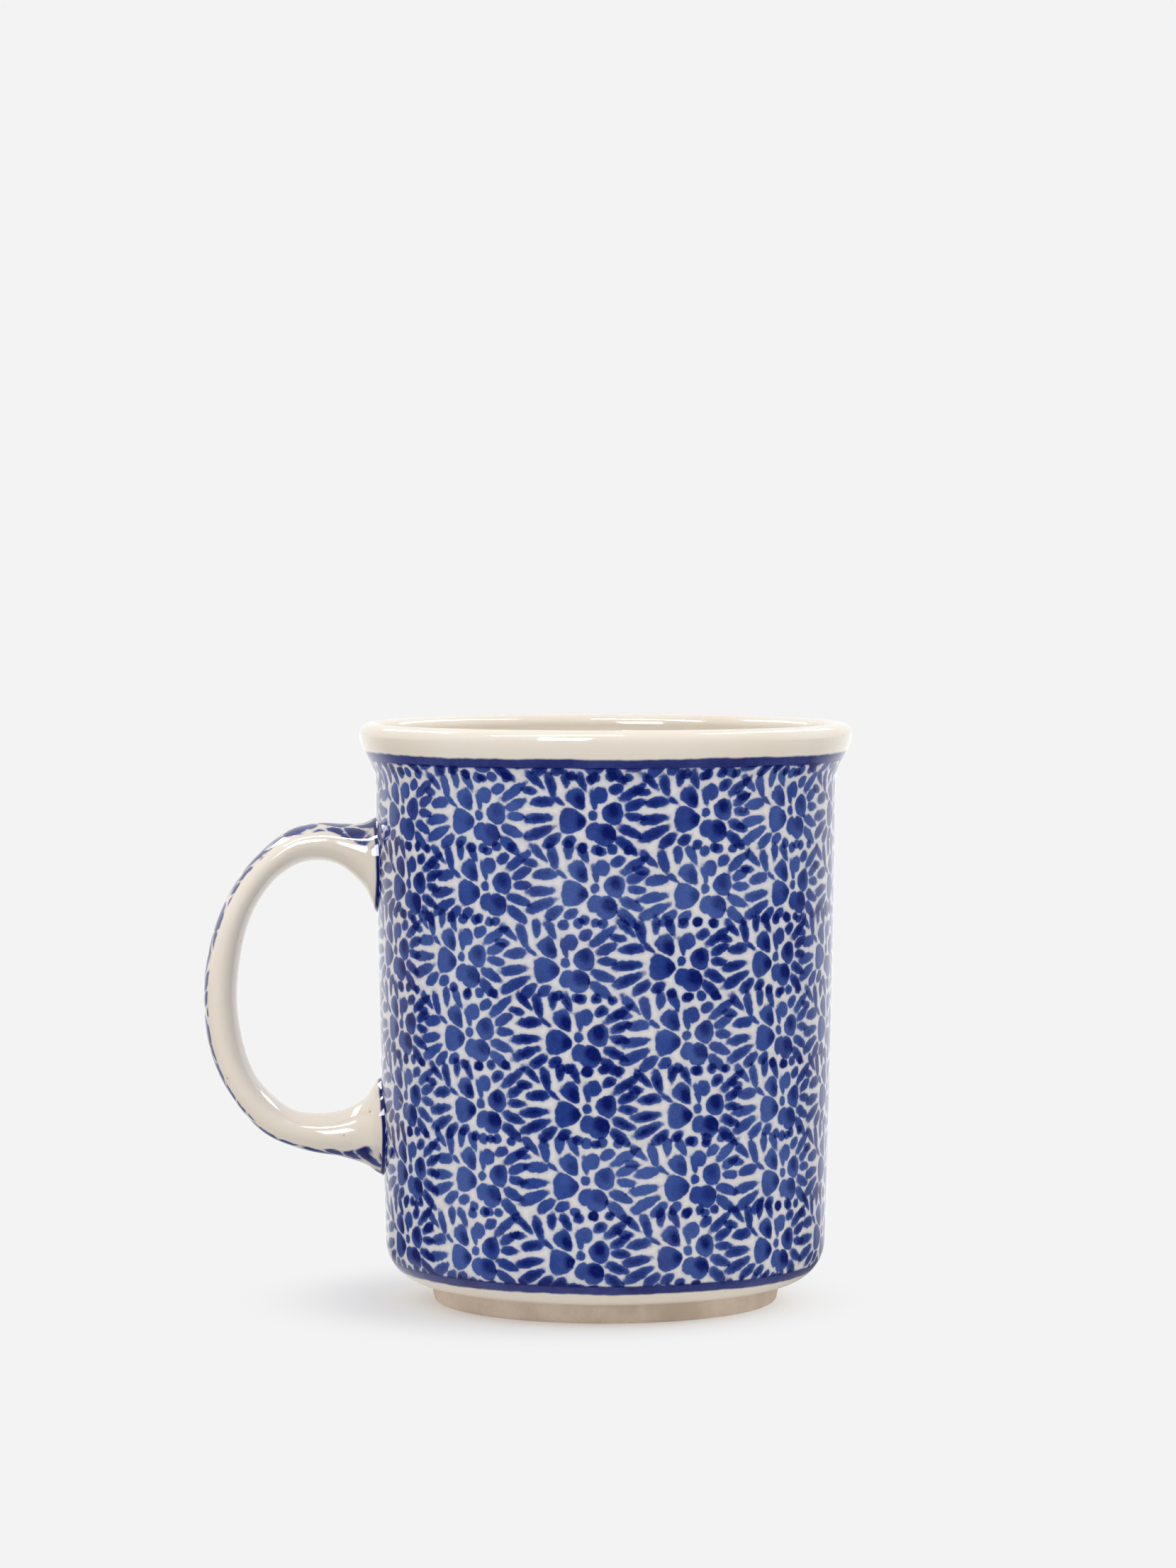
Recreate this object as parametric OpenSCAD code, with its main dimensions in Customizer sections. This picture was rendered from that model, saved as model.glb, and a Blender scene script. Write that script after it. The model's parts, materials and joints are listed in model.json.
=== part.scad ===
// Straight stoneware mug with a turned-out lip and a side handle, luted on with slip.
// Z is up and is the cup's axis, the foot ring stands on z = 0, and the handle points along -X.
// The glaze and the cobalt paint are thin coats with a thickness of their own, so each is a
// separate solid that lies face to face on the clay.

/* [Cup] */
// Height from the table to the top of the lip
mug_h = 106; // [100:0.5:112]
// Diameter over the widest part of the lip
rim_d = 90; // [86:1:96]
// Radius of the round bead that ends the lip
lip_r = 2.1; // [1.6:0.1:2.4]
// Thickness of the finished wall, coats included
wall_t = 4; // [3.5:0.1:5]
// How far the lip stands out past the wall
flare_out = 2.8; // [1.5:0.1:3.5]
// Height of the stretch over which the wall turns out
flare_h = 8.5; // [6:0.5:12]
// How much less the wall's radius is at the bottom than at the top
taper = 1.8; // [0:0.1:3]
// How far the wall swells at half its height
swell = 0.25; // [0:0.05:0.6]
// Radius of the curve that joins wall and base on the outside
base_curve_r = 8; // [6:0.5:9]
// Radius of the curve that joins wall and floor on the inside
floor_curve_r = 7; // [4:0.5:9]
// Thickness of the floor over the recess
floor_t = 5.6; // [4:0.1:7]

/* [Foot] */
// Outer diameter of the foot ring
foot_d = 63; // [58:0.5:64]
// Height of the foot ring on the outside
foot_h = 3.6; // [2.8:0.1:4]
// Width of the foot ring's flat face
foot_w = 4.5; // [3:0.5:6]
// Height of the recess inside the foot ring
recess_h = 2.4; // [1.5:0.1:3]

/* [Coats] */
// Thickness of the glaze and paint coats
coat_t = 0.35; // [0.2:0.05:0.5]
// Height of the lower cobalt line's bottom edge
lower_line_z = 6.1; // [5:0.1:7]
// Width of the lower cobalt line, measured along Z
lower_line_w = 2; // [1:0.1:3]
// Height of the upper cobalt line's bottom edge
upper_line_z = 99.1; // [96:0.1:99.8]
// Width of the upper cobalt line, measured along Z
upper_line_w = 2; // [1:0.1:3]

/* [Handle] */
// Width of the handle at its middle, measured along Y
handle_w = 13; // [11:0.5:16]
// How much wider the handle is where it meets the wall
root_widening = 4; // [2:0.5:6]
// How boxy the handle's section is: 2 is an ellipse, more is squarer
section_power = 2.3; // [2:0.1:4]

/* [Hidden] */

$fn = 128;

clay = [0.67, 0.59, 0.50];
cream = [0.90, 0.87, 0.81];
cobalt = [0.10, 0.16, 0.48];
stamped = [0.52, 0.56, 0.76];

foot_r = foot_d / 2;
recess_r = foot_r - foot_w;
floor_z = recess_h + floor_t;
lip_z = mug_h - lip_r;
lip_center_r = rim_d / 2 - lip_r;
wall_top_r = rim_d / 2 - flare_out;
curve_z = foot_h + base_curve_r;
curve_center_r = wall_top_r - taper - base_curve_r;
inner_flare = lip_center_r - lip_r - (wall_top_r - wall_t);
floor_curve_z = floor_z + floor_curve_r;

// Heights at which the wall's outline has a point: close together on the curves
curve_steps = [for (a = [9:9:81]) curve_z - base_curve_r * cos(a)];
wall_steps = [for (i = [0:10]) curve_z + (lip_z - flare_h - curve_z) * i / 10];
flare_steps = [for (i = [1:12]) lip_z - flare_h + flare_h * i / 12];
outline_steps = concat(curve_steps, wall_steps, flare_steps);

// Handle outline in the XZ plane, cup side to cup side: back x and z, finger side x and z,
// and how far the section has widened towards the wall, from 0 to 1
handle_rings = [
    [-39.5, 89.8, -39.5, 69.5, 1],
    [-42.1, 88.6, -42.1, 71.3, 0.8],
    [-44.5, 87.5, -44.4, 75.9, 0.4],
    [-48.2, 87.4, -48.5, 79.6, 0.1],
    [-53, 87.5, -52.8, 80.6, 0],
    [-58.6, 85.9, -57, 79.6, 0],
    [-65.2, 80.2, -61.4, 76.1, 0],
    [-70.2, 72.2, -65, 70.1, 0],
    [-73, 63.2, -66.9, 62.8, 0],
    [-73.7, 54.5, -67.5, 54.5, 0],
    [-72.5, 45.6, -66.2, 46.2, 0],
    [-69, 37.8, -63.5, 40, 0],
    [-62.9, 30.7, -58.5, 35.4, 0],
    [-55.3, 27.4, -54, 34.2, 0],
    [-48.6, 26.2, -48.6, 34.7, 0.1],
    [-44.3, 24.9, -44.4, 36.9, 0.4],
    [-42.1, 23.4, -42.1, 40.1, 0.8],
    [-39.5, 22, -39.5, 41.8, 1],
];
last_ring = len(handle_rings) - 1;
// Where the luted joints end and the free handle starts, counted in rings
joint_end = 1.7;
rings_per_step = 3;
section_sides = 24;
// Holes in the glaze under the joints: radius, margin inside the joint, and length along X
window_r = 6;
window_inset = 1.2;
window_depth = 10;

function smooth(u) = let (v = min(max(u, 0), 1)) v * v * (3 - 2 * v);

function flare(z) = smooth((z - lip_z + flare_h) / flare_h);

function wall_r(z) =
    let (t = (z - curve_z) / (lip_z - curve_z))
    wall_top_r - taper * (1 - t) + 4 * swell * t * (1 - t);

// Outside radius at height z, on the surface that lies depth under the finished one
function outer_r(z, depth) =
    z < curve_z
    ? curve_center_r + sqrt(pow(base_curve_r - depth, 2) - pow(curve_z - z, 2))
    : wall_r(z) + flare_out * flare(z) - depth;

function inner_r(z, depth) = wall_r(z) - wall_t + inner_flare * flare(z) + depth;

function arc(center_r, center_z, radius, a0, a1, steps) =
    [for (i = [0:steps])
        let (a = a0 + (a1 - a0) * i / steps)
        [center_r + radius * cos(a), center_z + radius * sin(a)]];

function reversed(list) = [for (i = [len(list) - 1:-1:0]) list[i]];

function steps_between(z0, z1) =
    concat([z0], [for (z = outline_steps) if (z > z0 + 0.2 && z < z1 - 0.2) z], [z1]);

function outer_side(z0, z1, depth) =
    [for (z = steps_between(z0, z1)) [outer_r(z, depth), z]];

// Lip, inner wall and floor, from the outside of the lip to the centre of the floor
function inner_side(depth) = concat(
    arc(lip_center_r, lip_z, lip_r - depth, 0, 180, 16),
    [for (z = reversed(steps_between(floor_curve_z, lip_z - 0.2))) [inner_r(z, depth), z]],
    arc(inner_r(floor_curve_z, 0) - floor_curve_r, floor_curve_z, floor_curve_r + depth,
        0, -90, 10),
    [[0, floor_z - depth]]);

// Curve from over the foot ring up to the height z
function base_curve(z, depth) =
    arc(curve_center_r, curve_z, base_curve_r - depth,
        -90, -asin((curve_z - z) / (base_curve_r - depth)), 8);

// Solid of the clay cup's outside, used to cut the joints to the wall
module clay_outside() {
    rotate_extrude()
        polygon(concat([[foot_r, foot_h]],
                       base_curve(lower_line_z, coat_t),
                       outer_side(lower_line_z, lip_z, coat_t),
                       [[0, lip_z], [0, foot_h]]));
}

// Coat on the outside of the wall between two heights
module wall_coat(z0, z1) {
    rotate_extrude()
        polygon(concat(outer_side(z0, z1, 0), reversed(outer_side(z0, z1, coat_t))));
}

// Catmull-Rom curve through the handle's rings at the place u
function handle_ring(u) =
    let (i = min(floor(u), last_ring - 1),
         t = u - i,
         a = handle_rings[max(i - 1, 0)],
         b = handle_rings[i],
         c = handle_rings[i + 1],
         d = handle_rings[min(i + 2, last_ring)])
    0.5 * (2 * b + (c - a) * t + (2 * a - 5 * b + 4 * c - d) * t * t
           + (3 * b - a - 3 * c + d) * t * t * t);

function boxy(v) = sign(v) * pow(abs(v), 2 / section_power);

function section_point(ring, angle) =
    let (across = (handle_w + root_widening * ring[4]) / 2 * boxy(cos(angle)),
         s = boxy(sin(angle)) / 2)
    [(ring[0] + ring[2]) / 2 + (ring[0] - ring[2]) * s,
     across,
     (ring[1] + ring[3]) / 2 + (ring[1] - ring[3]) * s];

// Stretch of the handle between two places on its ring list
module handle_stretch(u0, u1) {
    count = ceil((u1 - u0) * rings_per_step);
    n = section_sides;
    points = [for (k = [0:count])
                  let (ring = handle_ring(u0 + (u1 - u0) * k / count))
                  for (j = [0:n - 1]) section_point(ring, 360 * j / n)];
    sides = [for (k = [0:count - 1], j = [0:n - 1])
                 let (j2 = (j + 1) % n)
                 for (f = [[k * n + j, (k + 1) * n + j, k * n + j2],
                           [k * n + j2, (k + 1) * n + j, (k + 1) * n + j2]]) f];
    first_end = [[for (j = [0:n - 1]) j]];
    last_end = [[for (j = [n - 1:-1:0]) count * n + j]];
    polyhedron(points, concat(sides, first_end, last_end));
}

module upper_root() { handle_stretch(0, joint_end); }

module lower_root() { handle_stretch(last_ring - joint_end, last_ring); }

// Round-ended hole in the glaze, through which a joint reaches the clay
module glaze_window(ring) {
    z = (ring[1] + ring[3]) / 2;
    half_straight = abs(ring[1] - ring[3]) / 2 - window_inset - window_r;
    translate([ring[0] - window_depth / 2, 0, z]) {
        for (side = [-1, 1])
            translate([0, 0, side * half_straight])
                rotate([0, 90, 0])
                    cylinder(r = window_r, h = window_depth);
        translate([0, -window_r, -half_straight])
            cube([window_depth, 2 * window_r, 2 * half_straight]);
    }
}

module stamped_band() {
    difference() {
        wall_coat(lower_line_z + lower_line_w, upper_line_z);
        glaze_window(handle_rings[1]);
        glaze_window(handle_rings[last_ring - 1]);
    }
}

// Clay cup with its foot ring, formed in one piece
module cup_body() {
    color(clay)
    rotate_extrude()
        polygon(concat([[foot_r, 0], [foot_r, foot_h]],
                       base_curve(lower_line_z, coat_t),
                       outer_side(lower_line_z, lip_z - 0.2, coat_t),
                       inner_side(coat_t),
                       [[0, recess_h + coat_t], [recess_r, recess_h + coat_t],
                        [recess_r, 0]]));
}

module handle() {
    color(stamped)
    handle_stretch(joint_end, last_ring - joint_end);
}

// Slip and clay that hold the handle's upper end to the wall
module upper_joint() {
    color(cobalt)
    difference() {
        upper_root();
        clay_outside();
        stamped_band();
    }
}

// Slip and clay that hold the handle's lower end to the wall
module lower_joint() {
    color(cobalt)
    difference() {
        lower_root();
        clay_outside();
        stamped_band();
    }
}

// Cream glaze inside the cup, over the lip and down to the upper line
module liner_glaze() {
    top = upper_line_z + upper_line_w;
    color(cream)
    rotate_extrude()
        polygon(concat(outer_side(top, lip_z - 0.2, 0), inner_side(0),
                       reversed(inner_side(coat_t)),
                       reversed(outer_side(top, lip_z - 0.2, coat_t))));
}

module upper_line() {
    color(cobalt)
    wall_coat(upper_line_z, upper_line_z + upper_line_w);
}

// Stamped cobalt pattern under clear glaze, open where the handle is luted to the clay
module stamped_coat() {
    color(stamped)
    stamped_band();
}

module lower_line() {
    color(cobalt)
    wall_coat(lower_line_z, lower_line_z + lower_line_w);
}

// Cream glaze under the lower line, down to the foot ring
module base_glaze() {
    color(cream)
    rotate_extrude()
        polygon(concat([[foot_r, foot_h]],
                       base_curve(lower_line_z, 0),
                       reversed(base_curve(lower_line_z, coat_t))));
}

module underside_glaze() {
    color(cream)
    translate([0, 0, recess_h])
        cylinder(r = recess_r, h = coat_t);
}

cup_body();
handle();
upper_joint();
lower_joint();
liner_glaze();
upper_line();
stamped_coat();
lower_line();
base_glaze();
underside_glaze();
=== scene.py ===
"""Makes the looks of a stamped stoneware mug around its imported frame.

The cup is turned on its axis, the handle is lofted along its bow, and the glaze and the cobalt
paint are thin coats of their own. All sizes are in metres, unless a name ends in _mm.
"""

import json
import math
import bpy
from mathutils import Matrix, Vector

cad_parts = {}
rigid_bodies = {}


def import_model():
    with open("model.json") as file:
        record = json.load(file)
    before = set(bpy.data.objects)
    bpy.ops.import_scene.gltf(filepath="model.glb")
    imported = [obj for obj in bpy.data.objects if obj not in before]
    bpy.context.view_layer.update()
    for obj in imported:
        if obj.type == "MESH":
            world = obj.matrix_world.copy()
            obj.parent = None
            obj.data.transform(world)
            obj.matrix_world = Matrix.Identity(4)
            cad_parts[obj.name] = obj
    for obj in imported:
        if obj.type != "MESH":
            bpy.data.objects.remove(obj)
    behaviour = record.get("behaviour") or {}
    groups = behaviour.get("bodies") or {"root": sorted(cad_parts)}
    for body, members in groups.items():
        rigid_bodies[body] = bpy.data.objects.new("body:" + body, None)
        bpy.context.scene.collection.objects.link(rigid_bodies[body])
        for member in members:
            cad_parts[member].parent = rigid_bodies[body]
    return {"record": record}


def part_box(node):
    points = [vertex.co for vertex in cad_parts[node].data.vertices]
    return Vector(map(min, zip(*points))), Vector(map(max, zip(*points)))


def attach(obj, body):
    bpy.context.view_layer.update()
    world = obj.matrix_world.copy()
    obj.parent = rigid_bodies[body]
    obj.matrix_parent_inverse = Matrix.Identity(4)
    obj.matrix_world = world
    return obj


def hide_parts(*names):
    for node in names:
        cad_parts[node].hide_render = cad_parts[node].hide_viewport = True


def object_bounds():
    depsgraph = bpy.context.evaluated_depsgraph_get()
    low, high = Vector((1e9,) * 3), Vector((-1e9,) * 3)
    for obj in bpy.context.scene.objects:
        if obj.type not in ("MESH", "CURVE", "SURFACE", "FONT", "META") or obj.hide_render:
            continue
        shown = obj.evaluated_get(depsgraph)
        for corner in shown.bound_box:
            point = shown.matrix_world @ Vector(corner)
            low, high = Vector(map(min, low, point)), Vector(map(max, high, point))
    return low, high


bl_info = {
    "name": "Stamped stoneware mug",
    "version": (1, 0, 0),
    "blender": (4, 5, 0),
    "location": "View3D > Sidebar > Mug",
    "description": "Turns, handles, glazes and stamps a stoneware mug around its packed frame",
    "category": "Object",
}

from types import SimpleNamespace

import bpy
from bpy.props import FloatProperty, FloatVectorProperty, IntProperty, PointerProperty
from mathutils import Matrix, Vector
from mathutils.kdtree import KDTree

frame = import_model()
cad_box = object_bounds()

MM = 0.001
WHITE, BLACK = (1.0, 1.0, 1.0, 1.0), (0.0, 0.0, 0.0, 1.0)


# ---------------------------------------------------------------------------------------------
# Sizes and colours that a user would change
# ---------------------------------------------------------------------------------------------

def length(name, description, millimetres):
    return FloatProperty(name=name, description=description, default=millimetres * MM,
                         unit="LENGTH", precision=5, min=0.0)


def amount(name, description, default, most=1.0):
    return FloatProperty(name=name, description=description, default=default, min=0.0, max=most)


def angle(name, description, degrees):
    return FloatProperty(name=name, description=description, default=math.radians(degrees),
                         subtype="ANGLE")


def tone(name, description, red, green, blue):
    """A colour given as the 0 to 255 values of a paint chart."""
    return FloatVectorProperty(name=name, description=description, subtype="COLOR", size=3,
                               min=0.0, max=1.0,
                               default=[linear(c / 255) for c in (red, green, blue)])


def linear(value):
    return value / 12.92 if value <= 0.04045 else ((value + 0.055) / 1.055) ** 2.4


class MugShape(bpy.types.PropertyGroup):
    """Sizes of the clay and its coats that the frame's boxes don't state."""

    lip_radius: length("Lip radius", "Radius of the round bead that ends the lip", 2.1)
    wall: length("Wall", "Thickness of the finished wall, coats included", 4.0)
    flare_out: length("Flare", "How far the lip stands out past the wall", 2.8)
    flare_height: length("Flare height", "Stretch over which the wall turns out", 8.5)
    taper: length("Taper", "How much narrower the wall is at the bottom than at the top", 1.8)
    swell: length("Swell", "How far the wall swells at half its height", 0.25)
    base_curve: length("Base curve", "Radius between wall and base on the outside", 8.0)
    floor_curve: length("Floor curve", "Radius between wall and floor on the inside", 7.0)
    foot_edge: length("Foot edge", "Radius of the wiped edges of the foot ring", 0.9)
    foot_flare: length("Foot flare", "How much wider the foot ring is at its top", 0.6)
    line_overlap: length("Line overlap", "How far a line's coat runs past its paint", 0.4)
    handle_width: length("Handle width", "Width of the handle across its bow", 13.0)
    root_widening: length("Root widening", "How much wider the handle is at the wall", 4.0)
    turns: IntProperty(name="Facets round", default=256, min=64, max=512,
                       description="How many steps a turned piece has round the axis")


class StampLayout(bpy.types.PropertyGroup):
    """Where the sponge stamps are set on the wall and the handle."""

    around: IntProperty(name="Stamps round", default=13, min=6, max=24,
                        description="How many stamps go once round the wall")
    row_pitch: length("Row pitch", "Height from one row of stamps to the next", 12.9)
    first_row: length("First row", "Height of the lowest row's flower centres", 13.7)
    wander: length("Wander", "How far a stamp sits off its place, side to side", 1.3)
    turn: angle("Turn", "Range over which the stamps are turned off level", 9.0)
    softness: length("Softness", "Half the width of a mark's soft edge", 0.2)
    spread: length("Spread", "How far the cobalt has run past each mark", 0.08)
    halo: amount("Halo", "How much cobalt tints the glaze close to a mark", 0.2)


class GlazeColours(bpy.types.PropertyGroup):
    """Colours of the fired clay, glaze and cobalt."""

    clay: tone("Bare clay", "Unglazed foot ring", 228, 209, 191)
    clay_dark: tone("Bare clay, dark", "Toasted patches of the foot ring", 201, 181, 162)
    cream: tone("Cream glaze", "Glaze on the lip, inside and handle", 235, 226, 213)
    cream_warm: tone("Cream glaze, thick", "Where the glaze has run thick", 225, 212, 194)
    ground: tone("Stamped ground", "Glaze between the stamped marks", 221, 219, 220)
    iron: tone("Iron specks", "Fine specks in the glaze", 146, 118, 88)
    ink_thin: tone("Thin cobalt", "Lightly printed marks", 70, 94, 158)
    ink: tone("Cobalt", "Evenly printed marks", 36, 63, 138)
    ink_deep: tone("Deep cobalt", "Cores and overlaps of marks", 0, 18, 94)
    ink_purple: tone("Violet cobalt", "Violet cast where the glaze is thick", 54, 50, 108)


class StudioLight(bpy.types.PropertyGroup):
    """The light tent and the camera."""

    tent: amount("Tent", "Light that the white tent casts from behind the mug", 1.0, 4.0)
    front: amount("Front", "Share of the tent's light that comes from the camera's side", 0.5)
    front_glare: amount("Front glare", "Share of the tent's front that the glaze mirrors", 0.15)
    side_glare: amount("Side glare", "How much more the tent's sides mirror in the glaze", 0.2, 2.0)
    backdrop: amount("Backdrop", "Brightness of the tent as the camera sees it", 0.896, 4.0)
    table_grey: amount("Table grey", "How much of the light the table gives back", 0.8)
    # Painted shadow: between shade end and shade start the table's own glow drops towards the foot,
    # with its middle moved towards the handle.
    shade_start: length("Shade start", "How near the mug the table starts to glow", 30.0)
    shade_end: length("Shade end", "How far out the table glows as the backdrop does", 60.0)
    shade_aside: length("Shade aside", "How far the shade leans towards the handle", 10.0)
    # Painted light: the table glows by itself near the foot; no light comes through it.
    painted_table_glow: amount("Table glow", "Light that comes through the table from below", 0.2, 4.0)
    glare: amount("Soft boxes", "Strength of all the soft boxes together", 1.0, 10.0)
    lens: FloatProperty(name="Lens", default=115.55, min=20.0, max=300.0,
                        description="Focal length in millimetres for a 36 mm long side")
    distance: length("Camera distance", "From the cup's axis to the camera", 920.6)
    eye_height: length("Camera height", "Camera height over the table", 137.9)
    aside: length("Camera aside", "How far the camera stands towards the handle", 3.2)
    tilt: angle("Tilt", "How far the camera looks down", 2.69)


# Bow of the handle in the XZ plane, wall to wall, in millimetres: the back's x and z, the
# finger side's x and z, and how far the section has widened towards the wall
HANDLE_RINGS_MM = [
    (-39.5, 89.8, -39.5, 69.5, 1.0),
    (-42.1, 88.6, -42.1, 71.3, 0.8),
    (-44.5, 87.5, -44.4, 75.9, 0.4),
    (-48.2, 87.4, -48.5, 79.6, 0.1),
    (-53.0, 87.5, -52.8, 80.6, 0.0),
    (-58.6, 85.9, -57.0, 79.6, 0.0),
    (-65.2, 80.2, -61.4, 76.1, 0.0),
    (-70.2, 72.2, -65.0, 70.1, 0.0),
    (-73.0, 63.2, -66.9, 62.8, 0.0),
    (-73.7, 54.5, -67.5, 54.5, 0.0),
    (-72.5, 45.6, -66.2, 46.2, 0.0),
    (-69.0, 37.8, -63.5, 40.0, 0.0),
    (-62.9, 30.7, -58.5, 35.4, 0.0),
    (-55.3, 27.4, -54.0, 34.2, 0.0),
    (-48.6, 26.2, -48.6, 34.7, 0.1),
    (-44.3, 24.9, -44.4, 36.9, 0.4),
    (-42.1, 23.4, -42.1, 40.1, 0.8),
    (-39.5, 22.0, -39.5, 41.8, 1.0),
]
LAST_RING = len(HANDLE_RINGS_MM) - 1
# How far below the lip's middle the wall's outline stops, so that the lip's arc runs on from it
LIP_START = 0.2 * MM
# Steps of an outline: where it curves and is seen, on a painted line, and where a coat hides it
FINE_STEP, LINE_STEP, HIDDEN_STEP = 0.5 * MM, 0.3 * MM, 2 * MM
# Distance from an outline's edge to the point that holds its slope
EDGE_HOLD = 0.05 * MM
# Points of a turned piece that are closer than this are one point
SEAM_GAP = 0.002 * MM
# Radius at which the glaze in the recess turns down along the foot ring
RECESS_FILLET = 0.8 * MM
# Points round a handle section, and how much subdividing draws such a ring in
SECTION_POINTS = 20
SECTION_EASE = 3 / (2 + math.cos(math.tau / SECTION_POINTS))
# Rings from the wall's side to where a luted joint ends and the free handle starts
JOINT_RINGS = 1.7

# One sponge stamp, in millimetres from the flower's centre: for each mark its middle (x, y),
# its length and width, its turn in degrees and how much it narrows towards its far end.
# The marks are in five bunches, and each bunch is smaller than the space between two stamps.
FLOWER = [
    (0.0, 0.0, 1.6, 1.75, 0, 0.0),
    (-2.9, 2.6, 4.1, 2.9, -55, 0.42),
    (1.0, 3.6, 2.7, 2.9, 0, 0.0),
    (0.0, 2.7, 3.5, 1.4, -82, 0.35),
    (3.35, 0.55, 3.7, 3.9, 180, 0.22),
    (0.3, -2.8, 2.8, 3.2, -20, 0.0),
    (2.2, -3.3, 4.0, 4.1, 10, 0.0),
    (-3.4, -1.2, 4.7, 4.3, 0, 0.38),
]
FLOWER_CORES = [
    (-1.7, -1.2, 1.9, 1.7, 0, 0.3),
    (2.9, -2.8, 2.2, 2.8, 70, 0.0),
    (3.5, 1.1, 1.7, 2.2, 20, 0.0),
    (-2.3, 2.3, 2.2, 1.5, -60, 0.0),
]
UPPER_SPRAY = [
    (-5.0, 6.2, 3.3, 1.7, 90, -0.2),
    (-2.4, 5.95, 3.7, 1.6, -63, 0.35),
    (-0.1, 6.7, 2.0, 1.9, 0, 0.0),
    (2.6, 7.0, 1.9, 1.8, 0, 0.0),
    (5.5, 6.9, 1.8, 1.6, 0, 0.0),
    (3.7, 4.85, 2.7, 1.9, 28, 0.0),
    (6.8, 4.6, 5.8, 1.75, 36, 0.2),
    (7.3, 2.3, 4.1, 1.8, 26, 0.15),
    (7.3, 0.1, 3.5, 1.6, -5, 0.1),
]
LOWER_SPRAY = [
    (6.6, -2.5, 4.6, 1.85, -22, 0.2),
    (6.1, -5.0, 4.8, 2.0, -38, 0.15),
    (-3.9, -4.8, 2.7, 1.9, 32, 0.0),
    (-1.5, -5.7, 1.9, 1.8, 0, 0.0),
    (1.8, -6.2, 1.9, 1.6, 0, 0.0),
]
LEFT_SPRAY = [
    (-9.6, -1.2, 5.5, 1.85, 8, 0.15),
    (-9.4, -3.7, 6.0, 2.0, 25, 0.15),
    (-6.9, -4.9, 3.9, 2.0, 38, 0.1),
]
TWIG = [
    (-6.1, 2.1, 2.5, 0.95, -34, 0.3),
    (-9.0, 1.8, 4.5, 2.0, 8, -0.1),
    (-7.6, 4.8, 4.6, 1.8, -74, 0.2),
    (-10.3, 5.5, 4.3, 1.5, -43, 0.3),
    (-11.6, 3.6, 3.0, 1.5, -8, 0.0),
]
BUNCHES = [FLOWER, UPPER_SPRAY, LOWER_SPRAY, LEFT_SPRAY, TWIG]
# Soft boxes over the table: name, both ends and width in metres, power in watts, and whether
# the box lights the clay or only shows as a gleam in the glaze
SOFT_BOXES = [
    ("front_box", (-0.40, -0.70, 1.00), (0.30, -0.70, 1.00), 0.40, 4.5, True),
    ("window_gleam", (-0.46, -0.70, 0.60), (-0.12, -0.83, 0.60), 0.42, 10.0, False),
    ("left_gleam", (-0.565, 0.25, 0.84), (-0.486, 0.742, 0.52), 0.10, 3.2, False),
    ("right_gleam", (0.415, 0.0, 0.96), (0.455, 0.784, 0.48), 0.10, 4.2, False),
    ("handle_gleam", (-0.60, -0.25, 0.80), (0.08, -0.27, 1.00), 0.12, 8.0, False),
]
# How much each glaze mirrors straight on
CREAM_SHINE, STAMPED_SHINE, HANDLE_SHINE = 0.5, 0.3, 0.45
# How violet the brushed lines are next to the stamps
LINE_VIOLET = 0.6
# Where a brushed line's paint starts and is full, inwards from its edge
PAINT_EDGE_MM = (-0.12, 0.34)
# How far each row of stamps is slid round the wall, bottom row first, in millimetres
ROW_SLIDES_MM = [-5.1, -3.2, -3.9, -5.4, -7.0, -1.9, -2.6, -4.4]
# The slide that a colour ramp's full red stands for
SLIDE_SCALE_MM = 10.0


# ---------------------------------------------------------------------------------------------
# The cup's outline
# ---------------------------------------------------------------------------------------------

def cup_sizes():
    """The cup's sizes: the frame's where its boxes and mounts state them, else the sidebar's."""
    shape = bpy.context.scene.mug_shape
    foot = next(m for m in frame["record"]["mounts"] if m["name"] == "foot_ring")
    underside_low, underside_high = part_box("underside_glaze")
    cup = SimpleNamespace(
        height=cad_box[1].z,
        rim=cad_box[1].x,
        foot=foot["dims"]["r_mm"] * MM,
        foot_height=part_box("base_glaze")[0].z,
        recess=underside_high.x,
        recess_z=underside_low.z,
        coat=underside_high.z - underside_low.z,
        upper_line=[corner.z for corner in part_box("upper_line")],
        lower_line=[corner.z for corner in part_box("lower_line")],
    )
    cup.lip_z = cup.height - shape.lip_radius
    cup.lip_middle = cup.rim - shape.lip_radius
    cup.wall_top = cup.rim - shape.flare_out
    cup.curve_z = cup.foot_height + shape.base_curve
    cup.curve_middle = cup.wall_top - shape.taper - shape.base_curve
    cup.inner_flare = cup.lip_middle - shape.lip_radius - (cup.wall_top - shape.wall)
    cup.floor_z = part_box("liner_glaze")[0].z + cup.coat
    cup.floor_curve_z = cup.floor_z + shape.floor_curve
    return cup


def smooth(u):
    u = min(max(u, 0.0), 1.0)
    return u * u * (3 - 2 * u)


def flare(cup, z):
    height = bpy.context.scene.mug_shape.flare_height
    return smooth((z - cup.lip_z + height) / height)


def wall_radius(cup, z):
    shape = bpy.context.scene.mug_shape
    t = (z - cup.curve_z) / (cup.lip_z - cup.curve_z)
    return cup.wall_top - shape.taper * (1 - t) + 4 * shape.swell * t * (1 - t)


def outer_radius(cup, z, depth):
    """Outside radius at height z, on the surface that lies depth under the finished one."""
    shape = bpy.context.scene.mug_shape
    if z < cup.curve_z:
        rise = cup.curve_z - z
        return cup.curve_middle + math.sqrt((shape.base_curve - depth) ** 2 - rise ** 2)
    return wall_radius(cup, z) + shape.flare_out * flare(cup, z) - depth


def inner_radius(cup, z, depth):
    wall = bpy.context.scene.mug_shape.wall
    return wall_radius(cup, z) - wall + cup.inner_flare * flare(cup, z) + depth


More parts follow.
